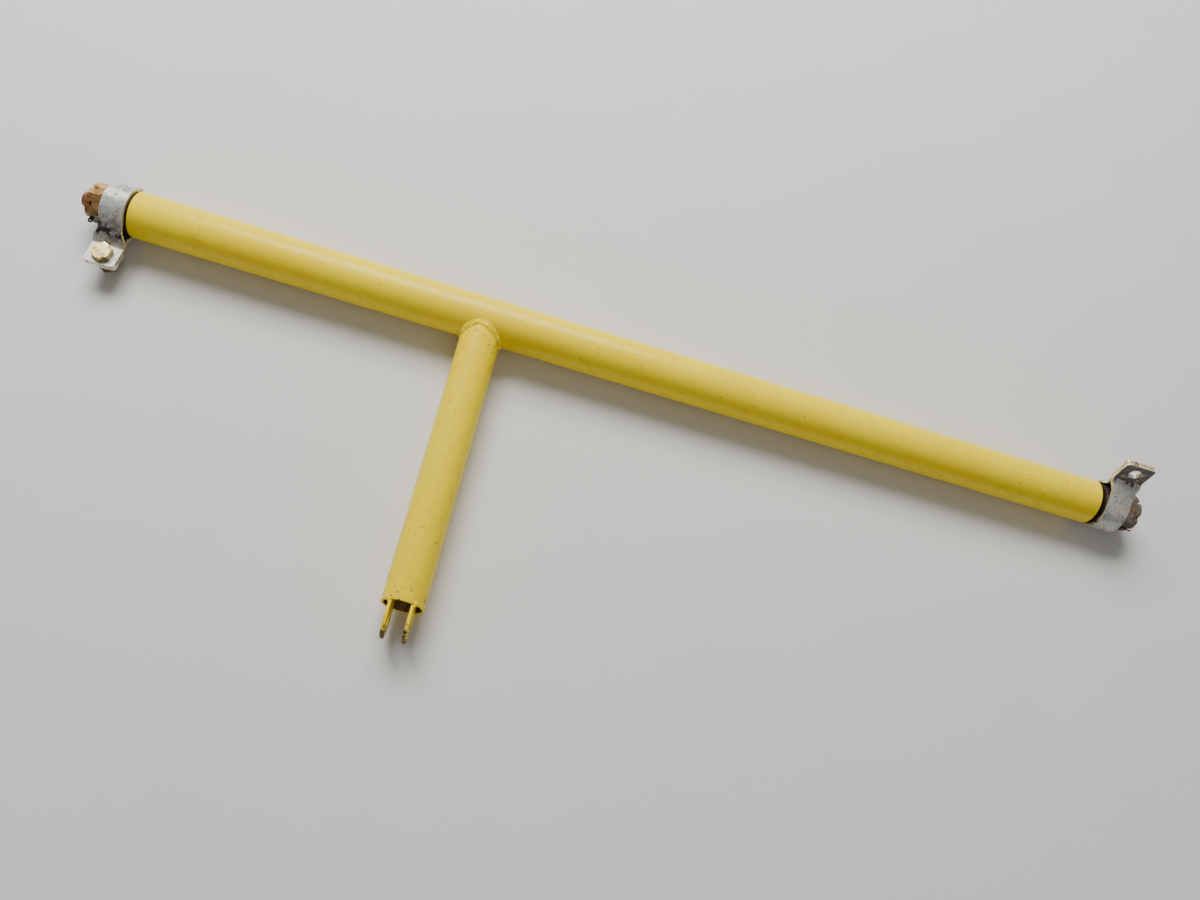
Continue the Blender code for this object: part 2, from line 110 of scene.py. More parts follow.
def pushedForm(outline, start, end):
    # an outline of (y, z) points extruded along X
    form = bmesh.new()
    face = form.faces.new([form.verts.new((start, y, z)) for y, z in outline])
    pushed = bmesh.ops.extrude_face_region(form, geom=[face])
    moved = [item for item in pushed["geom"] if isinstance(item, bmesh.types.BMVert)]
    bmesh.ops.translate(form, verts=moved, vec=(end - start, 0, 0))
    bmesh.ops.recalc_face_normals(form, faces=form.faces)
    return form


def makeObject(name, form):
    mesh = bpy.data.meshes.new(name)
    form.to_mesh(mesh)
    form.free()
    mesh.shade_smooth()
    made = bpy.data.objects.new(name, mesh)
    scene.collection.objects.link(made)
    return made


def cutWith(made, form, operation="DIFFERENCE"):
    tool = makeObject(made.name + "Tool", form)
    cut = made.modifiers.new("cut", "BOOLEAN")
    cut.object = tool
    cut.operation = operation
    cut.solver = "EXACT"
    settle(made)
    bpy.data.objects.remove(tool)


def settle(made):
    # the modifiers' result becomes the mesh
    bpy.context.view_layer.update()
    graph = bpy.context.evaluated_depsgraph_get()
    shaped = bpy.data.meshes.new_from_object(made.evaluated_get(graph), preserve_all_data_layers=True,
                                             depsgraph=graph)
    made.modifiers.clear()
    made.data = shaped


def breakEdges(made, width, segments=2, angle=35.0):
    bevel = made.modifiers.new("brokenEdges", "BEVEL")
    bevel.width = width
    bevel.segments = segments
    bevel.limit_method = "ANGLE"
    bevel.angle_limit = math.radians(angle)
    bevel.harden_normals = True
    settle(made)


def finishPiece(made, where, materials, body, slot, *nodes, sharp=None):
    made.data.transform(where @ Matrix.Scale(mm, 4))
    if sharp:
        made.data.set_sharp_from_angle(angle=math.radians(sharp))
    for material in materials:
        made.data.materials.append(material)
    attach(made, body)
    if nodes:
        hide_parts(*nodes)
    return made


# finishes

def hexColour(code):
    parts = [int(code[place:place + 2], 16) / 255 for place in (1, 3, 5)]
    return [p / 12.92 if p <= 0.04045 else ((p + 0.055) / 1.055) ** 2.4 for p in parts] + [1.0]


def addNode(tree, kind, inputs=None, **settings):
    node = tree.nodes.new(kind)
    for name, value in settings.items():
        setattr(node, name, value)
    for socket, value in (inputs or {}).items():
        if isinstance(value, bpy.types.NodeSocket):
            tree.links.new(value, node.inputs[socket])
        else:
            node.inputs[socket].default_value = value
    return node


def newMaterial(name, **sockets):
    material = bpy.data.materials.new(name)
    material.use_nodes = True
    tree = material.node_tree
    shader = tree.nodes["Principled BSDF"]
    for socket, value in sockets.items():
        shader.inputs[socket.replace("_", " ")].default_value = value
    place = addNode(tree, "ShaderNodeTexCoord").outputs["Object"]
    return material, tree, shader, place


def grain(tree, place, size, detail=4.0, rough=0.55, stretch=None):
    # noise whose lumps are about that many millimetres across
    if stretch:
        place = addNode(tree, "ShaderNodeMapping", {"Vector": place, "Scale": stretch}).outputs[0]
    return addNode(tree, "ShaderNodeTexNoise", {"Vector": place, "Scale": 1000.0 / size, "Detail": detail,
                                                "Roughness": rough}).outputs["Fac"]


def window(tree, value, low, high, start=0.0, end=1.0):
    return addNode(tree, "ShaderNodeMapRange", {"Value": value, "From Min": low, "From Max": high,
                                                "To Min": start, "To Max": end}).outputs[0]


def sums(tree, operation, first, second):
    return addNode(tree, "ShaderNodeMath", {0: first, 1: second}, operation=operation).outputs[0]


def layer(tree, share, under, over):
    mixed = addNode(tree, "ShaderNodeMix", {0: share}, data_type="RGBA")
    for socket, value in ((6, under), (7, over)):
        if isinstance(value, str):
            mixed.inputs[socket].default_value = hexColour(value)
        else:
            tree.links.new(value, mixed.inputs[socket])
    return mixed.outputs[2]


def raised(tree, height, distance, strength=1.0, below=None):
    links = {"Height": height, "Distance": distance * mm, "Strength": strength}
    if below is not None:
        links["Normal"] = below
    return addNode(tree, "ShaderNodeBump", links).outputs[0]


def axisOf(tree, place, axis):
    return addNode(tree, "ShaderNodeSeparateXYZ", {0: place}).outputs[axis]


enamel = {"yellow": "#FFDC00", "sunned": "#FFE800", "stain": "#D6A400", "grime": "#4A3A14",
          "primer": "#8C8A5A", "steel": "#6E655B", "rust": "#6B3D1C"}


def yellowEnamel(name, wearAxis=None, wearFrom=0.0, wearTo=0.0, burnt=0.0, pitted=None):
    # alkyd enamel sprayed over primer: soft gloss, slight orange peel, chips down to steel
    material, tree, shader, place = newMaterial(name, Specular_IOR_Level=0.2, Coat_Weight=0.05,
                                                Coat_Roughness=0.1, IOR=1.5)
    cloud = grain(tree, place, 38.0, 3.0)                               # uneven coat in 40 mm patches
    colour = layer(tree, window(tree, cloud, 0.35, 0.7, 0.0, 0.75), enamel["yellow"], enamel["sunned"])
    stains = grain(tree, place, 9.0, 6.0, 0.65)                         # handling stains, 9 mm
    stainShare = window(tree, stains, 0.56, 0.74, 0.0, 0.38)
    colour = layer(tree, stainShare, colour, enamel["stain"])
    specks = grain(tree, place, 1.6, 2.0, 0.5)                          # grit and pinholes, 1.6 mm
    if pitted:                                                          # gas pinholes just below the weld
        specks = sums(tree, "ADD", specks, window(tree, axisOf(tree, place, 1), *pitted, 0.0, 0.055))
    speckShare = window(tree, specks, 0.69, 0.75, 0.0, 0.75)
    colour = layer(tree, speckShare, colour, enamel["grime"])
    scuffs = grain(tree, place, 1.4, 5.0, 0.7, stretch=(0.05, 1.0, 1.0))  # rub marks 28 mm long
    scuffShare = window(tree, scuffs, 0.63, 0.72, 0.0, 0.3)
    colour = layer(tree, scuffShare, colour, enamel["grime"])
    chips = grain(tree, place, 3.2, 5.0, 0.6)                           # chips about 3 mm
    edge = 0.765
    if wearAxis is not None:
        ends = window(tree, axisOf(tree, place, wearAxis), wearFrom, wearTo, 0.0, 0.3)
        chips = sums(tree, "ADD", chips, ends)
    primerShare = window(tree, chips, edge - 0.035, edge - 0.02, 0.0, 0.9)
    steelShare = window(tree, chips, edge, edge + 0.012, 0.0, 1.0)
    rusty = window(tree, grain(tree, place, 2.2, 4.0), 0.42, 0.6)
    metal = layer(tree, rusty, enamel["steel"], enamel["rust"])
    colour = layer(tree, primerShare, colour, enamel["primer"])
    colour = layer(tree, steelShare, colour, metal)
    if burnt:
        soot = window(tree, grain(tree, place, 5.0, 6.0, 0.7), 0.45, 0.7, 0.0, burnt)
        colour = layer(tree, soot, colour, enamel["stain"])
    tree.links.new(colour, shader.inputs["Base Color"])
    tree.links.new(steelShare, shader.inputs["Metallic"])
    rough = sums(tree, "ADD", window(tree, stains, 0.3, 0.75, 0.24, 0.42),
                 sums(tree, "MULTIPLY", steelShare, 0.3))
    tree.links.new(rough, shader.inputs["Roughness"])
    peel = grain(tree, place, 2.8, 2.0, 0.5)                            # orange peel, 2.8 mm
    bump = raised(tree, peel, 0.05, 0.35)
    bump = raised(tree, sums(tree, "SUBTRACT", 1.0, primerShare), 0.12, 0.8, bump)
    tree.links.new(raised(tree, sums(tree, "SUBTRACT", 1.0, speckShare), 0.08, 0.6, bump),
                   shader.inputs["Normal"])
    return material


# the dirt colour also paints shade by the left strap's bend and on the right ear's front
cadmium = {"base": "#CCCDC7", "light": "#F0F0EA", "dark": "#A2A29D", "tan": "#B8A47A", "dirt": "#2A241A",
           "noBand": (0.0, 0.0, 0.0, 0.0), "cutBright": "#F2E8C8", "cutRust": "#9A6A3C"}


def weatheredCadmium(name, warmth, foldShadeAxis=None, grime=cadmium["noBand"], shadeDarkening=0.0):
    # electroplated sheet steel left outdoors: pale grey bloom, tan stains, soft dull sheen; optional painted
    # shade as a dark band by a bend and as widened dark patches
    material, tree, shader, place = newMaterial(name)
    bloom = grain(tree, place, 5.5, 5.0, 0.62)                          # bloom patches, 5 mm
    colour = layer(tree, window(tree, bloom, 0.35, 0.62), cadmium["dark"], cadmium["base"])
    frost = grain(tree, place, 1.3, 4.0, 0.6)                           # white corrosion, 1.3 mm
    colour = layer(tree, window(tree, frost, 0.5, 0.68, 0.0, 0.75), colour, cadmium["light"])
    stain = grain(tree, place, 8.0, 4.0, 0.6)                           # tan stains, 8 mm
    colour = layer(tree, window(tree, stain, 0.48, 0.62, 0.0, warmth), colour, cadmium["tan"])
    caked = grain(tree, place, 3.0, 6.0, 0.7)                           # caked dirt, 3 mm; a positive last argument widens it into painted shade
    dirt = window(tree, caked, 0.58 - shadeDarkening, 0.7 - shadeDarkening, 0.0, 0.85)
    if foldShadeAxis is not None:                                           # painted shade: a patchy dark band by the bend
        along = axisOf(tree, place, foldShadeAxis)
        band = sums(tree, "MULTIPLY", window(tree, along, *grime[:2]), window(tree, along, *grime[2:]))
        patchy = window(tree, grain(tree, place, 4.0, 6.0, 0.65), 0.38, 0.56)
        dirt = sums(tree, "MAXIMUM", dirt, sums(tree, "MULTIPLY", band, patchy))
    colour = layer(tree, dirt, colour, cadmium["dirt"])
    tree.links.new(colour, shader.inputs["Base Color"])
    tree.links.new(window(tree, dirt, 0.0, 0.85, 0.4, 0.05), shader.inputs["Metallic"])
    tree.links.new(window(tree, bloom, 0.3, 0.7, 0.34, 0.56), shader.inputs["Roughness"])
    bump = raised(tree, frost, 0.05, 0.6)
    tree.links.new(raised(tree, dirt, 0.12, 0.8, bump), shader.inputs["Normal"])
    return material


def shearedEdge(name):
    # cut edge of the plated sheet: bright bare steel with orange rust beginning
    material, tree, shader, place = newMaterial(name)
    spots = grain(tree, place, 2.4, 5.0, 0.65)                          # rust spots, 2.4 mm
    colour = layer(tree, window(tree, spots, 0.5, 0.64), cadmium["cutBright"], cadmium["cutRust"])
    dirt = window(tree, grain(tree, place, 4.5, 5.0, 0.65), 0.58, 0.68, 0.0, 0.8)
    colour = layer(tree, dirt, colour, cadmium["dirt"])
    tree.links.new(colour, shader.inputs["Base Color"])
    tree.links.new(window(tree, spots, 0.45, 0.65, 0.7, 0.15), shader.inputs["Metallic"])
    tree.links.new(window(tree, spots, 0.4, 0.65, 0.38, 0.7), shader.inputs["Roughness"])
    shear = grain(tree, place, 0.5, 2.0, 0.5)                           # shear marks, drawn at 0.5 mm to show
    tree.links.new(raised(tree, shear, 0.03, 0.5), shader.inputs["Normal"])
    return material


# the grime colour below paints the shade on the nuts' low side
passivate = {"gold": "#C08C4E", "pale": "#DDB67C", "green": "#8E6C3C", "brown": "#5E3216", "grime": "#1E140C",
             "cream": "#D2C288", "straw": "#C2B078", "olive": "#94854E", "grey": "#6A6458", "ash": "#A8A294"}


def goldPassivate(name, lowSideShadeShare, tints=("gold", "pale", "green")):
    # yellow chromate over cadmium on steel: drifting tan gold with brown rust coming through, and painted
    # shade on the low side
    material, tree, shader, place = newMaterial(name)
    sheen = grain(tree, place, 4.0, 4.0, 0.6)                           # chromate colour drifts over 4 mm
    colour = layer(tree, window(tree, sheen, 0.35, 0.62), passivate[tints[0]], passivate[tints[1]])
    colour = layer(tree, window(tree, grain(tree, place, 6.0, 3.0), 0.5, 0.66, 0.0, 0.6), colour,
                   passivate[tints[2]])
    specks = grain(tree, place, 2.6, 6.0, 0.7)                          # rust specks, 2.6 mm
    rust = window(tree, specks, 0.54, 0.66, 0.0, 0.9)
    colour = layer(tree, rust, colour, passivate["brown"])
    # painted shade: darker towards low y and z, the nut's underside
    lowSideMeasure = sums(tree, "ADD", axisOf(tree, place, 1), axisOf(tree, place, 2))
    low = window(tree, lowSideMeasure, 98.0 * mm, 86.0 * mm, 0.0, lowSideShadeShare)
    lowSideShade = sums(tree, "MULTIPLY", low, window(tree, grain(tree, place, 5.0, 4.0), 0.25, 0.5))
    colour = layer(tree, lowSideShade, colour, passivate["grime"])             # painted shade on the low side, in patches
    tree.links.new(colour, shader.inputs["Base Color"])
    tree.links.new(window(tree, rust, 0.0, 0.9, 0.85, 0.2), shader.inputs["Metallic"])
    tree.links.new(window(tree, sheen, 0.3, 0.7, 0.3, 0.5), shader.inputs["Roughness"])
    bump = raised(tree, grain(tree, place, 0.7, 3.0), 0.03, 0.5)
    tree.links.new(raised(tree, rust, 0.08, 0.7, bump), shader.inputs["Normal"])
    return material


steel = {"bright": "#8F7B66", "dark": "#4B3A2C", "rust": "#A8592A", "ochre": "#C88A4A"}


def rustedSteel(name, rustShare=0.75):
    # machined carbon steel with a dry orange rust film
    material, tree, shader, place = newMaterial(name)
    film = grain(tree, place, 3.4, 6.0, 0.65)                           # rust film patches, 3.4 mm
    colour = layer(tree, window(tree, film, 0.4, 0.62), steel["bright"], steel["dark"])
    rust = window(tree, grain(tree, place, 2.0, 6.0, 0.7), 0.42, 0.58, 0.0, rustShare)
    colour = layer(tree, rust, colour, steel["rust"])
    colour = layer(tree, window(tree, grain(tree, place, 1.0, 4.0), 0.58, 0.7, 0.0, 0.7), colour,
                   steel["ochre"])
    tree.links.new(colour, shader.inputs["Base Color"])
    tree.links.new(window(tree, rust, 0.0, 0.75, 0.9, 0.25), shader.inputs["Metallic"])
    tree.links.new(window(tree, rust, 0.0, 0.75, 0.32, 0.7), shader.inputs["Roughness"])
    lathe = grain(tree, place, 0.35, 2.0, 0.5, stretch=(1.0, 0.08, 0.08))  # lathe marks, drawn at 0.35 mm
    bump = raised(tree, lathe, 0.02, 0.5)
    tree.links.new(raised(tree, rust, 0.06, 0.7, bump), shader.inputs["Normal"])
    return material


phenolic = {"brown": "#1E120C", "light": "#3E2818", "dust": "#5A4C3A"}


def phenolicBearing(name):
    # fabric-filled phenolic tube: dark brown, dull, with the cloth's threads showing on cut ends
    material, tree, shader, place = newMaterial(name, IOR=1.55)
    cloth = grain(tree, place, 1.2, 3.0, 0.6)                           # cloth threads, drawn at 1.2 mm
    colour = layer(tree, window(tree, cloth, 0.42, 0.62), phenolic["brown"], phenolic["light"])
    dust = window(tree, grain(tree, place, 5.0, 5.0), 0.55, 0.7, 0.0, 0.6)
    colour = layer(tree, dust, colour, phenolic["dust"])
    tree.links.new(colour, shader.inputs["Base Color"])
    tree.links.new(window(tree, dust, 0.0, 0.6, 0.5, 0.8), shader.inputs["Roughness"])
    tree.links.new(raised(tree, cloth, 0.04, 0.6), shader.inputs["Normal"])
    return material


tubeEnamel = yellowEnamel("tubeEnamel")
armEnamel = yellowEnamel("armEnamel", 1, -0.066, -0.096, pitted=(50.0 * mm, 60.0 * mm))
beadEnamel = yellowEnamel("beadEnamel", burnt=0.4)
forkEnamel = yellowEnamel("forkEnamel", 1, -0.078, -0.100)
# the left strap gets a band of painted shade by its bend
leftStripPlate = weatheredCadmium("leftStripPlate", 0.3, 1, (60.0 * mm, 63.5 * mm, 72.0 * mm, 67.0 * mm))
rightStripPlate = weatheredCadmium("rightStripPlate", 0.3)
# painted shade: a darker plate for the right ear's front
shadedEarPlate = weatheredCadmium("shadedEarPlate", 0.6, shadeDarkening=0.24)
washerPlate = weatheredCadmium("washerPlate", 0.7)
stripEdge = shearedEdge("stripEdge")
leftNutPlate = goldPassivate("leftNutPlate", 1.0)
rightNutPlate = goldPassivate("rightNutPlate", 0.9, ("grey", "ash", "gold"))
boltPlate = goldPassivate("boltPlate", 0.0, ("cream", "straw", "olive"))
studSteel = rustedSteel("studSteel")
wireSteel = rustedSteel("wireSteel", 0.25)
boreSteel = rustedSteel("boreSteel", 0.2)
earNutSteel = rustedSteel("earNutSteel", 0.2)
bearing = phenolicBearing("bearing")
print("finishes are mixed")


# cross tube and control arm

tube = {"outer": 12.7, "wall": 1.24, "length": 556.0, "lip": 0.3, "facets": 192}
tubeBore = tube["outer"] - tube["wall"]
profile = softened([(0.0, tubeBore), (0.0, tube["outer"]), (tube["length"], tube["outer"]),
                    (tube["length"], tubeBore)], tube["lip"])
crossTube = makeObject("crossTube", turnedForm(profile, tube["facets"]))
finishPiece(crossTube, Matrix.Translation((tubeLow.x, axisY, axisZ)), [tubeEnamel], "torque_tube",
            "yellow_paint", "main_tube", sharp=40)
print("cross tube is turned")

arm = {"outer": 11.1, "wall": 1.24, "length": 160.6, "farLip": 3.7, "lip": 0.3, "facets": 192}
downArm = armFrame @ Matrix.Rotation(-math.pi / 2, 4, "Z")   # X runs down the arm, Y across, Z is height


def saddleDepth(across, height, radius):
    # how far down the leaning arm the tube's round is met
    return (math.sqrt(radius ** 2 - height ** 2) + across * math.sin(lean)) / math.cos(lean)


def endDepth(height):
    return arm["length"] + arm["farLip"] * (0.5 - height / (2 * arm["outer"]))


def controlArm():
    inner = arm["outer"] - arm["wall"]
    profile = softened([(0.0, inner), (0.0, arm["outer"]), (arm["length"], arm["outer"]),
                        (arm["length"], inner)], arm["lip"])
    form = turnedForm(profile, arm["facets"])
    for vert in form.verts:
        if vert.co.x < arm["length"] / 2:
            vert.co.x = saddleDepth(vert.co.y, vert.co.z, tube["outer"] + seatGap)
        else:
            vert.co.x += endDepth(vert.co.z) - arm["length"]
    bmesh.ops.remove_doubles(form, verts=form.verts, dist=0.002)
    made = makeObject("controlArm", form)
    for face in made.data.polygons:                    # the bore has no paint
        if math.hypot(face.center.y, face.center.z) < inner + 0.05:
            face.material_index = 1
    return finishPiece(made, downArm, [armEnamel, boreSteel], "torque_tube", "yellow_paint", "arm_tube",
                       sharp=50)


controlArm()
print("control arm is mitred")

bead = {"toe": 1.3, "heel": 2.2, "crown": 0.3, "ripple": 0.15, "pitch": 2.1, "lump": 0.55, "facets": 420,
        "steps": 14}


def weldBead():
    # a ring of section points, each then laid on the line where the two tubes meet
    form = bmesh.new()
    share = form.verts.layers.float.new("share")
    count = bead["steps"] + 1
    points = []
    for index in range(count + 1):
        angle = 2 * math.pi * index / (count + 1)
        point = form.verts.new((math.cos(angle), 0.0, arm["outer"] + 2.0 + math.sin(angle)))
        point[share] = -1.0 if index == 0 else (index - 1) / (count - 1)
        points.append(point)
    edges = [form.edges.new(pair) for pair in zip(points, points[1:] + points[:1])]
    bmesh.ops.spin(form, geom=points + edges, axis=(1, 0, 0), cent=(0, 0, 0), dvec=(0, 0, 0),
                   angle=2 * math.pi, steps=bead["facets"], use_merge=True)
    tubeLine = Vector((math.sin(lean), math.cos(lean), 0.0))          # the tube's axis seen from the arm
    for vert in form.verts:
        turn = math.atan2(vert.co.z, vert.co.y)
        outward = Vector((0.0, math.cos(turn), math.sin(turn)))
        skin = (arm["outer"] + seatGap) * outward
        corner = Vector((saddleDepth(skin.y, skin.z, tube["outer"] + seatGap), skin.y, skin.z))
        radial = (corner - corner.dot(tubeLine) * tubeLine).normalized()
        wander = noise.noise(corner * 0.16) * 0.3
        tangent = (outward - outward.dot(radial) * radial).normalized()
        toe = corner + bead["toe"] * (1.0 + wander) * tangent
        spine = toe.dot(tubeLine) * tubeLine
        toe = spine + (tube["outer"] + 0.02) * (toe - spine).normalized()
        heel = corner + Vector((bead["heel"] * (1.0 + wander), 0.0, 0.0)) - (seatGap - 0.02) * outward
        along = vert[share]
        if along < 0.0:
            vert.co = corner - seatGap * outward
            continue
        crest = math.sin(math.pi * along)
        phase = turn * (arm["outer"] + 1.5) / bead["pitch"] + 0.9 * (along - 0.5) ** 2
        ripple = bead["ripple"] * math.cos(2 * math.pi * phase) * (0.6 + 0.8 * noise.noise(corner * 0.1))
        lump = bead["lump"] * noise.noise(corner * 0.35 + Vector((0.0, 0.0, along * 2.0)))
        vert.co = toe.lerp(heel, along) + (outward + radial).normalized() * crest * (
            bead["crown"] + ripple + lump)
    bmesh.ops.recalc_face_normals(form, faces=form.faces)
    made = makeObject("weldBead", form)
    return finishPiece(made, downArm, [beadEnamel], "torque_tube", "yellow_paint", "junction_weld",
                       sharp=70)


weldBead()
print("weld bead is laid")


# fork

fork = {"spacing": 11.3, "plate": 1.6, "reach": 19.4, "width": 19.0, "tang": 12.0, "hole": 6.5, "edge": 0.3,
        "bead": (0.9, 1.6, 0.9), "beadHeight": 8.3}


def forkPlate(name, side, node):
    half = fork["width"] / 2
    inside = fork["spacing"] / 2 + fork["plate"] / 2
    tang = math.sqrt((arm["outer"] - arm["wall"]) ** 2 - inside ** 2) - seatGap
    tip = arm["length"] + fork["reach"] - half
    outline = [(-(arm["length"] - fork["tang"]), -tang), (-(endDepth(-tang) + seatGap), -tang),
               (-(endDepth(-half) + seatGap), -half)]
    for step in range(49):
        angle = -math.pi / 2 - math.pi * step / 48
        outline.append((-tip + half * math.cos(angle), half * math.sin(angle)))
    outline += [(-(endDepth(half) + seatGap), half), (-(endDepth(tang) + seatGap), tang),
                (-(arm["length"] - fork["tang"]), tang)]
    middle = side * fork["spacing"] / 2
    made = makeObject(name, pushedForm(outline, middle - fork["plate"] / 2, middle + fork["plate"] / 2))
    pin = rodForm(-10.0, 10.0, fork["hole"] / 2, 64)
    bmesh.ops.translate(pin, verts=pin.verts, vec=(0, -tip, 0))
    cutWith(made, pin)
    breakEdges(made, fork["edge"])
    return finishPiece(made, armFrame, [forkEnamel], "torque_tube", "yellow_paint", node)


def forkBead(name, side, up):
    # small fillet where a plate crosses the arm's rim
    form = bmesh.new()
    bmesh.ops.create_icosphere(form, subdivisions=4, radius=1.0)
    bmesh.ops.scale(form, verts=form.verts, vec=fork["bead"])
    for vert in form.verts:
        sample = vert.co * 0.7 + Vector((side * 5.0, up * 9.0, 0.0))
        vert.co += vert.co.normalized() * 0.5 * noise.noise(sample)
    height = up * fork["beadHeight"]
    across = side * (fork["spacing"] / 2 + fork["plate"] / 2 + 0.2)
    where = Vector((across, -(endDepth(height) - 0.3), height))
    bmesh.ops.translate(form, verts=form.verts, vec=where)
    made = makeObject(name, form)
    return finishPiece(made, armFrame, [beadEnamel], "torque_tube", "yellow_paint")


forkPlate("forkPlateLeft", -1, "fork_plate_left")
forkPlate("forkPlateRight", 1, "fork_plate_right")
for label, side, up in (("forkBeadLeftTop", -1, 1), ("forkBeadLeftBottom", -1, -1),
                        ("forkBeadRightTop", 1, 1), ("forkBeadRightBottom", 1, -1)):
    forkBead(label, side, up)
print("fork is welded in")


# studs, nuts and pins

stud = {"plugDepth": 22.0, "collar": 9.5, "collarHeight": 0.7, "shank": 6.35, "threadStart": 15.5,
        "threadEnd": 24.5, "thread": 6.05, "pitch": 1.27, "threadDepth": 0.6, "pilot": 4.2,
        "length": 29.1, "cotterHole": 2.9, "facets": 96}
shim = {"start": 1.0, "end": 2.7, "inner": 6.65, "outer": 9.5, "soft": 0.25}
nut = {"flats": 19.05, "height": 7.6, "chamfer": 1.0, "bore": 6.35, "slot": 2.4, "slotDepth": 3.4,
       "edge": 0.28}
cotter = {"wire": 1.0, "gap": 0.1, "drop": 1.9, "eye": 0.85, "leg": 2.4}
washer = {"height": 1.2, "inner": 6.65, "outer": 9.9, "soft": 0.18}
nutStart = 2 * bandHalf + 0.4 + seatGap + washer["height"] + seatGap


def threadWave(station, turn, pitch):
    place = (station / pitch - turn / (2 * math.pi)) % 1.0
    return abs(2.0 * place - 1.0)


def endPlug(name, node, where, gap, clock):
    bore = tubeBore - seatGap
    profile = [(-stud["plugDepth"], 0.0), (-stud["plugDepth"], bore - 0.6), (-stud["plugDepth"] + 0.6, bore),
               (0.0, bore), (0.0, stud["collar"]), (stud["collarHeight"], stud["collar"]),
               (stud["collarHeight"], stud["shank"]), (stud["threadStart"], stud["shank"]),
               (stud["threadStart"] + 0.1, stud["thread"])]
    station = stud["threadStart"] + 0.2
    while station < stud["threadEnd"] - 0.7:
        profile.append((station, stud["thread"]))
        station += stud["pitch"] / 10
    profile += [(stud["threadEnd"] - 0.6, stud["thread"]), (stud["threadEnd"], stud["thread"] - 0.6),
                (stud["threadEnd"], stud["pilot"]), (stud["length"] - 0.5, stud["pilot"]),
                (stud["length"] - 0.15, stud["pilot"] - 0.15), (stud["length"], stud["pilot"] - 0.5),
                (stud["length"], 0.0)]
    form = turnedForm(profile, stud["facets"], closed=False)
    for vert in form.verts:
        if stud["threadStart"] + 0.15 < vert.co.x < stud["threadEnd"] - 0.65:
            turn = math.atan2(vert.co.z, vert.co.y)
            radius = stud["thread"] - stud["threadDepth"] * threadWave(vert.co.x, turn, stud["pitch"])
            vert.co.y, vert.co.z = radius * math.cos(turn), radius * math.sin(turn)
    made = makeObject(name, form)
    drill = rodForm(-9.0, 9.0, stud["cotterHole"] / 2, 32)
    across = (Matrix.Translation((cotterStation(gap), 0, 0)) @ Matrix.Rotation(clock, 4, "X")
              @ Matrix.Rotation(math.pi / 2, 4, "Y"))
    bmesh.ops.transform(drill, matrix=across, verts=drill.verts)
    cutWith(made, drill)
    return finishPiece(made, where, [studSteel], "torque_tube", "bare_steel", node, sharp=40)


def cotterStation(gap):
    return gap + nutStart + nut["height"] - cotter["drop"]


def hexForm(start, height, flats, bore, chamfer):
    # hexagon bar and the chamfered barrel that it is turned down to
    corner = flats / math.sqrt(3)
    turns = [math.radians(60 * side) for side in range(6)]
    bar = pushedForm([(corner * math.cos(turn), corner * math.sin(turn)) for turn in turns], start,
                     start + height)
    end = start + height
    barrel = [(start - chamfer, corner - 2 * chamfer), (start + chamfer, corner + 0.05),
              (end - chamfer, corner + 0.05), (end + chamfer, corner - 2 * chamfer)]
    if bore:
        sink = bore + 0.5
        barrel = ([(start - chamfer, sink), *barrel, (end + chamfer, sink), (end, sink), (end - 0.5, bore),
                   (start + 0.5, bore), (start, sink)])
    else:
        barrel = [(start - chamfer, 0.0), *barrel, (end + chamfer, 0.0)]
    return bar, turnedForm(barrel, 128, closed=bool(bore))


def castleNut(name, node, where, gap, clock, plate):
    start = gap + nutStart
    bar, barrel = hexForm(start, nut["height"], nut["flats"], nut["bore"], nut["chamfer"])
    made = makeObject(name, bar)
    cutWith(made, barrel, "INTERSECT")
    wide = nut["slot"] / 2
    for number in range(3):
        slot = pushedForm([(-20.0, -wide), (20.0, -wide), (20.0, wide), (-20.0, wide)],
                          start + nut["height"] - nut["slotDepth"], start + nut["height"] + 1.0)
        bmesh.ops.rotate(slot, verts=slot.verts, cent=(0, 0, 0),
                         matrix=Matrix.Rotation(math.radians(90 + 60 * number), 3, "X"))
        cutWith(made, slot)
    breakEdges(made, nut["edge"])
    return finishPiece(made, where @ Matrix.Rotation(clock, 4, "X"), [plate], "torque_tube",
                       "gold_plating", node)


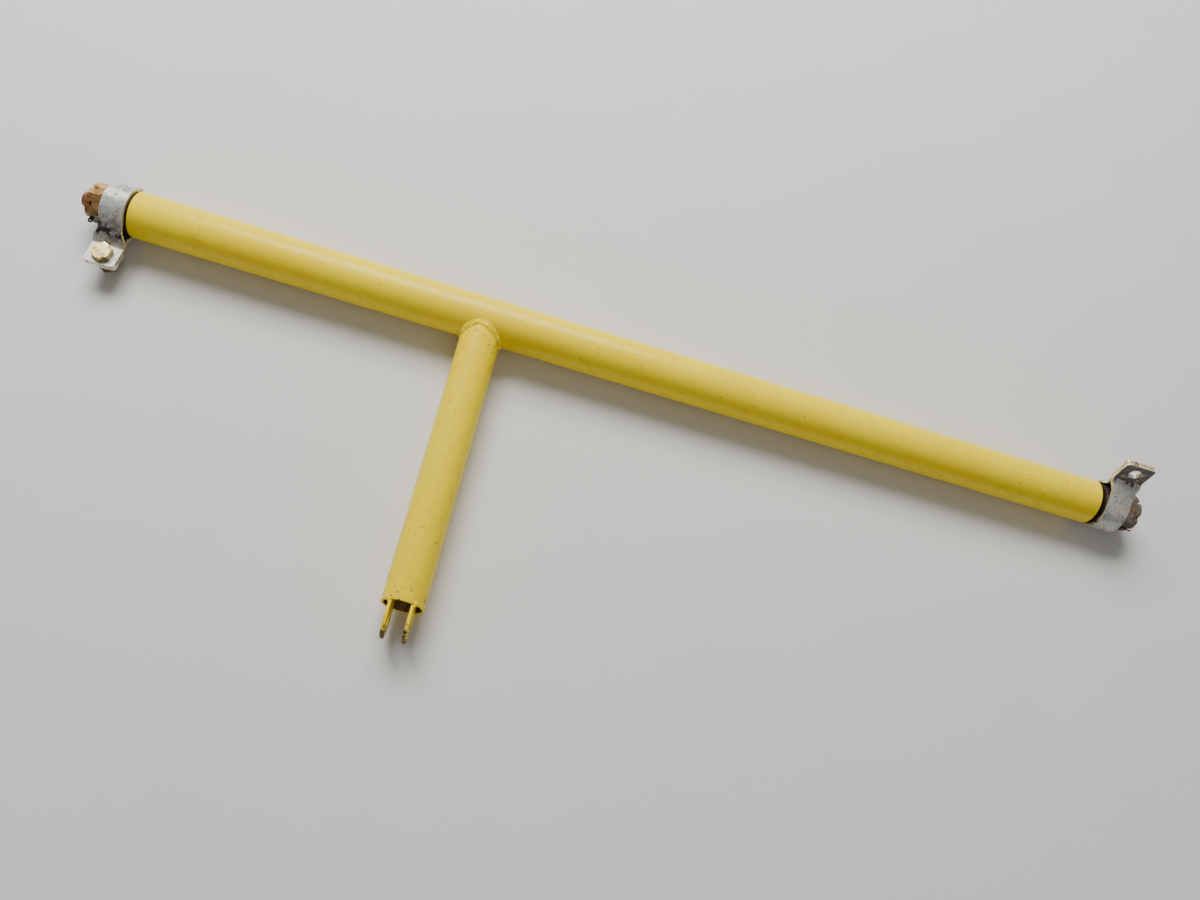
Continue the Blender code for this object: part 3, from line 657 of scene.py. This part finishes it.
def cotterPin(name, node, where, gap, clock):
    # one folded wire: leg, run through the stud, eye, run back, leg
    run = (cotter["wire"] + cotter["gap"]) / 2
    reach = nut["flats"] / 2 + cotter["wire"] / 2 + 0.1
    bend, eyeRadius = cotter["wire"], cotter["eye"]
    path = [(run + cotter["leg"], reach)]
    path += [(run + bend + bend * math.cos(turn), reach - bend + bend * math.sin(turn))
             for turn in (math.pi / 2 + math.pi / 2 * step / 6 for step in range(7))]
    first = math.asin(run / eyeRadius)
    path += [(eyeRadius * math.sin(turn), -(reach + eyeRadius) + eyeRadius * math.cos(turn))
             for turn in (first + (2 * math.pi - 2 * first) * step / 24 for step in range(25))]
    path += [(-run - bend + bend * math.cos(turn), reach - bend + bend * math.sin(turn))
             for turn in (math.pi / 2 * step / 6 for step in range(7))]
    path += [(-run - cotter["leg"], reach)]
    curve = bpy.data.curves.new(name, "CURVE")
    curve.dimensions = "3D"
    curve.bevel_depth = cotter["wire"] / 2
    curve.bevel_resolution = 4
    curve.use_fill_caps = True
    spline = curve.splines.new("POLY")
    spline.points.add(len(path) - 1)
    for point, (x, z) in zip(spline.points, path):
        point.co = (x, 0.0, z, 1.0)
    bent = bpy.data.objects.new(name + "Wire", curve)
    scene.collection.objects.link(bent)
    bpy.context.view_layer.update()
    graph = bpy.context.evaluated_depsgraph_get()
    mesh = bpy.data.meshes.new_from_object(bent.evaluated_get(graph), depsgraph=graph)
    bpy.data.objects.remove(bent)
    mesh.shade_smooth()
    made = bpy.data.objects.new(name, mesh)
    scene.collection.objects.link(made)
    across = where @ Matrix.Translation((cotterStation(gap) * mm, 0, 0)) @ Matrix.Rotation(clock, 4, "X")
    return finishPiece(made, across, [wireSteel], "torque_tube", "bare_steel", node, sharp=50)


def studWasher(name, node, where, gap):
    start = gap + 2 * bandHalf + 0.4 + seatGap
    made = makeObject(name, ringForm(start, start + washer["height"], washer["inner"], washer["outer"],
                                     washer["soft"]))
    return finishPiece(made, where, [washerPlate], "torque_tube", "dull_plating", node, sharp=40)


for side, where, gap, clock, plate in (("left", leftEnd, 1.4, 88.0, leftNutPlate),
                                       ("right", rightEnd, 3.4, 90.0, rightNutPlate)):
    endPlug(side + "Stud", side + "_end_plug", where, gap, math.radians(clock))
    castleNut(side + "CastleNut", side + "_castle_nut", where, gap, math.radians(clock), plate)
    cotterPin(side + "CotterPin", side + "_cotter_pin", where, gap, math.radians(clock))
    studWasher(side + "StudWasher", side + "_stud_washer", where, gap)
spacer = makeObject("rightShim", ringForm(shim["start"], shim["end"], shim["inner"], shim["outer"],
                                          shim["soft"]))
finishPiece(spacer, rightEnd, [bearing], "torque_tube", "brown_phenolic", "right_shim_washer", sharp=40)
print("studs, nuts and pins are fitted")


# folded straps and their bushings

strap = {"sheet": 1.6, "band": 12.7, "earWidth": 16.7, "earReach": 33.7, "earBend": 21.0, "earFace": -3.5,
         "backBend": 13.6, "corner": 1.8, "flare": 3.0, "hole": 6.46, "holeReach": 27.3, "bendRadius": 2.2,
         "bendHole": 2.6, "bendTilt": -30.0, "ring": 13.0, "edge": 0.28, "columns": 8}
bushing = {"half": 6.75, "inner": 6.47, "outer": 11.9, "soft": 0.35}


def cornerFillet(before, corner, after, radius, steps):
    towards, onwards = (before - corner).normalized(), (after - corner).normalized()
    half = towards.angle(onwards) / 2
    centre = corner + (towards + onwards).normalized() * radius / math.sin(half)
    start = corner + towards * radius / math.tan(half)
    stop = corner + onwards * radius / math.tan(half)
    return [centre + (start.lerp(stop, index / steps) - centre).normalized() * radius
            for index in range(steps + 1)]


def strapLine():
    # centre line of the strip in (reach, height): front ear, bend, ring, bend, back ear
    front = strap["earFace"] - strap["sheet"] / 2
    back = strap["earFace"] - 1.5 * strap["sheet"] - seatGap
    cornerFront, cornerBack = Vector((strap["earBend"], front)), Vector((strap["backBend"], back))
    ring = strap["ring"]
    start = math.atan2(front, strap["earBend"]) + math.acos(ring / cornerFront.length)
    stop = 2 * math.pi + math.atan2(back, strap["backBend"]) - math.acos(ring / cornerBack.length)
    circle = []
    for step in range(97):
        turn = start + (stop - start) * step / 96
        circle.append(Vector((ring * math.cos(turn), ring * math.sin(turn))))
    insets = [strap["corner"] * (1 - math.cos(math.radians(angle))) for angle in range(0, 91, 15)]
    insets += [5.0, strap["earReach"] - strap["earBend"] - strap["bendRadius"] * 1.6]
    line = [Vector((strap["earReach"] - inset, front)) for inset in insets]
    line += cornerFillet(line[-1], cornerFront, circle[0], strap["bendRadius"], 10)
    line += [line[-1].lerp(circle[0], share) for share in (0.15, 0.3, 0.45, 0.6, 0.8)]
    line += circle
    line += cornerFillet(circle[-1], cornerBack, Vector((strap["earReach"], back)), strap["bendRadius"], 8)
    line += [Vector((strap["earReach"] - inset, back)) for inset in reversed(insets)]
    return line


def stripWidth(reach):
    share = min(max(1 - (strap["earBend"] - strap["bendRadius"] - reach) / strap["flare"], 0.0), 1.0)
    width = strap["band"] + (strap["earWidth"] - strap["band"]) * share ** 2 * (3 - 2 * share)
    inset = strap["earReach"] - reach
    corner = strap["corner"]
    if inset < corner:
        width -= 2 * (corner - math.sqrt(max(corner ** 2 - (corner - inset) ** 2, 0.0)))
    return width


def foldedStrap(name, node, where, body, plate):
    form = bmesh.new()
    points = [form.verts.new((-0.5, point.x, point.y)) for point in strapLine()]
    edges = [form.edges.new(pair) for pair in zip(points, points[1:])]
    for column in range(strap["columns"]):
        grown = bmesh.ops.extrude_edge_only(form, edges=edges)["geom"]
        moved = [item for item in grown if isinstance(item, bmesh.types.BMVert)]
        fresh = set(moved)
        bmesh.ops.translate(form, verts=moved, vec=(1.0 / strap["columns"], 0, 0))
        edges = [item for item in grown if isinstance(item, bmesh.types.BMEdge)
                 and item.verts[0] in fresh and item.verts[1] in fresh]
    for vert in form.verts:
        vert.co.x *= stripWidth(vert.co.y)
    bmesh.ops.recalc_face_normals(form, faces=form.faces)
    made = makeObject(name, form)
    sheet = made.modifiers.new("sheet", "SOLIDIFY")
    sheet.thickness = strap["sheet"]
    sheet.offset = 0.0
    sheet.use_even_offset = True
    settle(made)
    drill = rodForm(-4.0, 3.6, strap["hole"] / 2, 64)
    bmesh.ops.transform(drill, verts=drill.verts, matrix=(
        Matrix.Translation((0, strap["holeReach"], strap["earFace"] - strap["sheet"]))
        @ Matrix.Rotation(-math.pi / 2, 4, "Y") @ Matrix.Rotation(math.pi / 64, 4, "X")))
    cutWith(made, drill)
    drill = rodForm(-1.6, 1.6, strap["bendHole"] / 2, 32)
    bmesh.ops.transform(drill, verts=drill.verts, matrix=(
        Matrix.Translation((0, strap["earBend"] - strap["sheet"] / 2, strap["earFace"]))
        @ Matrix.Rotation(math.radians(strap["bendTilt"]), 4, "X")
        @ Matrix.Rotation(-math.pi / 2, 4, "Y") @ Matrix.Rotation(math.pi / 32, 4, "X")))
    cutWith(made, drill)
    breakEdges(made, strap["edge"], angle=50.0)
    for face in made.data.polygons:                    # sheared sides and the ear's end are bare
        if abs(face.normal.x) > 0.6 or face.center.y > strap["earReach"] - 0.15:
            face.material_index = 1
        elif name == "rightStrap" and face.normal.z > 0.35:
            ragged = 2.4 * noise.noise(face.center * 0.6)
            if face.center.y > strap["earBend"] - 0.4 + ragged:
                face.material_index = 2                # painted shade: this ear's front takes the darker plate
    return finishPiece(made, where, [plate, stripEdge, shadedEarPlate], body, "dull_plating", node)


for side, where, plate in (("left", leftBracket, leftStripPlate), ("right", rightBracket, rightStripPlate)):
    foldedStrap(side + "Strap", side + "_strap", where, side + "_bracket", plate)
    sleeve = makeObject(side + "Bushing", ringForm(-bushing["half"], bushing["half"], bushing["inner"],
                                                   bushing["outer"], bushing["soft"]))
    finishPiece(sleeve, where, [bearing], side + "_bracket", "brown_phenolic", side + "_bushing", sharp=40)
print("straps are folded")


# bolt through the left ear

earBolt = {"shank": 2.38, "length": 13.6, "flats": 9.5, "head": 3.2, "chamfer": 0.3, "pitch": 0.79,
           "threadDepth": 0.38, "washer": 1.2, "washerOuter": 5.55, "nut": 4.8}
boltAxis = (leftBracket @ Matrix.Translation((0, strap["holeReach"] * mm, 0))
            @ Matrix.Rotation(-math.pi / 2, 4, "Y"))
headSeat = strap["earFace"] + seatGap
washerTop = strap["earFace"] - 2 * strap["sheet"] - 2 * seatGap
nutTop = washerTop - earBolt["washer"] - seatGap


def boltThroughEar():
    bar, barrel = hexForm(headSeat, earBolt["head"], earBolt["flats"], 0.0, earBolt["chamfer"])
    made = makeObject("earBolt", bar)
    cutWith(made, barrel, "INTERSECT")
    tip = strap["earFace"] - earBolt["length"]
    profile = [(tip, 0.0), (tip, earBolt["shank"] - 0.6), (tip + 0.5, earBolt["shank"])]
    station = tip + 0.6
    while station < nutTop + 0.5:
        profile.append((station, earBolt["shank"]))
        station += earBolt["pitch"] / 8
    profile += [(nutTop + 0.7, earBolt["shank"]), (headSeat + 0.4, earBolt["shank"]), (headSeat + 0.4, 0.0)]
    shank = turnedForm(profile, 64, closed=False)
    for vert in shank.verts:
        if tip + 0.55 < vert.co.x < nutTop + 0.6:
            turn = math.atan2(vert.co.z, vert.co.y)
            radius = earBolt["shank"] - earBolt["threadDepth"] * threadWave(vert.co.x, turn, earBolt["pitch"])
            vert.co.y, vert.co.z = radius * math.cos(turn), radius * math.sin(turn)
    cutWith(made, shank, "UNION")
    made.data.shade_smooth()
    return finishPiece(made, boltAxis, [boltPlate], "left_bracket", "dull_plating", "left_ear_bolt", sharp=30)


boltThroughEar()
plain = makeObject("earWasher", ringForm(washerTop - earBolt["washer"], washerTop, earBolt["shank"] + seatGap,
                                         earBolt["washerOuter"], 0.15, 96))
finishPiece(plain, boltAxis, [washerPlate], "left_bracket", "dull_plating", "left_ear_washer", sharp=40)
bar, barrel = hexForm(nutTop - earBolt["nut"], earBolt["nut"], earBolt["flats"], earBolt["shank"] + seatGap,
                      earBolt["chamfer"])
earNut = makeObject("earNut", bar)
cutWith(earNut, barrel, "INTERSECT")
breakEdges(earNut, 0.15)
finishPiece(earNut, boltAxis, [earNutSteel], "left_bracket", "bare_steel", "left_ear_nut")
print("ear bolt is fitted")


# floor, light and camera

studio = {"floor": "#E6E4DF", "floorCloud": "#DCDAD5", "floorHalf": 12.0, "keyPower": 37.0,
          "fillPower": 2.0, "skyColour": "#EEEDEA", "sky": 0.24}

form = bmesh.new()
bmesh.ops.create_grid(form, x_segments=2, y_segments=2, size=studio["floorHalf"])
floor = makeObject("studioFloor", form)
material, tree, shader, place = newMaterial("paleFloor", Roughness=0.9)
faint = grain(tree, place, 60.0, 3.0)
tree.links.new(layer(tree, window(tree, faint, 0.3, 0.7, 0.0, 0.25), studio["floor"], studio["floorCloud"]),
               shader.inputs["Base Color"])
floor.data.materials.append(material)


def softLight(name, direction, distance, size, power, aim):
    lamp = bpy.data.lights.new(name, "AREA")
    lamp.shape = "RECTANGLE"
    lamp.size, lamp.size_y = size
    lamp.energy = power
    placed = bpy.data.objects.new(name, lamp)
    placed.location = aim + Vector(direction).normalized() * distance
    placed.rotation_euler = (placed.location - aim).to_track_quat("Z", "Y").to_euler()
    scene.collection.objects.link(placed)


middle = Vector((0.0, 0.05, 0.01))
# the key light comes from the photograph's upper side
softLight("windowLight", (-0.275, 0.668, 0.70), 1.5, (1.1, 0.7), studio["keyPower"], middle)
softLight("fillLight", (0.5, -0.5, 0.9), 1.8, (1.4, 1.4), studio["fillPower"], middle)
world = bpy.data.worlds.new("studioSky")
world.use_nodes = True
world.node_tree.nodes["Background"].inputs["Color"].default_value = hexColour(studio["skyColour"])
world.node_tree.nodes["Background"].inputs["Strength"].default_value = studio["sky"]
scene.world = world

view = bpy.data.cameras.new("photoCamera")
view.sensor_width = 36.0
view.lens = 27.0
view.clip_start = 0.01
camera = bpy.data.objects.new("photoCamera", view)
# axes and place fitted to the outlines of tube and arm in the photograph
right = (0.95753, 0.25379, 0.13688)
down = (0.28286, -0.91888, -0.27504)
ahead = (0.05597, 0.30208, -0.95164)
axes = Matrix((right, [-value for value in down], [-value for value in ahead])).transposed()
camera.matrix_world = Matrix.Translation(junction + Vector((0.0531, -0.2013, 0.4641))) @ axes.to_4x4()
scene.collection.objects.link(camera)
scene.camera = camera
print("studio is set")
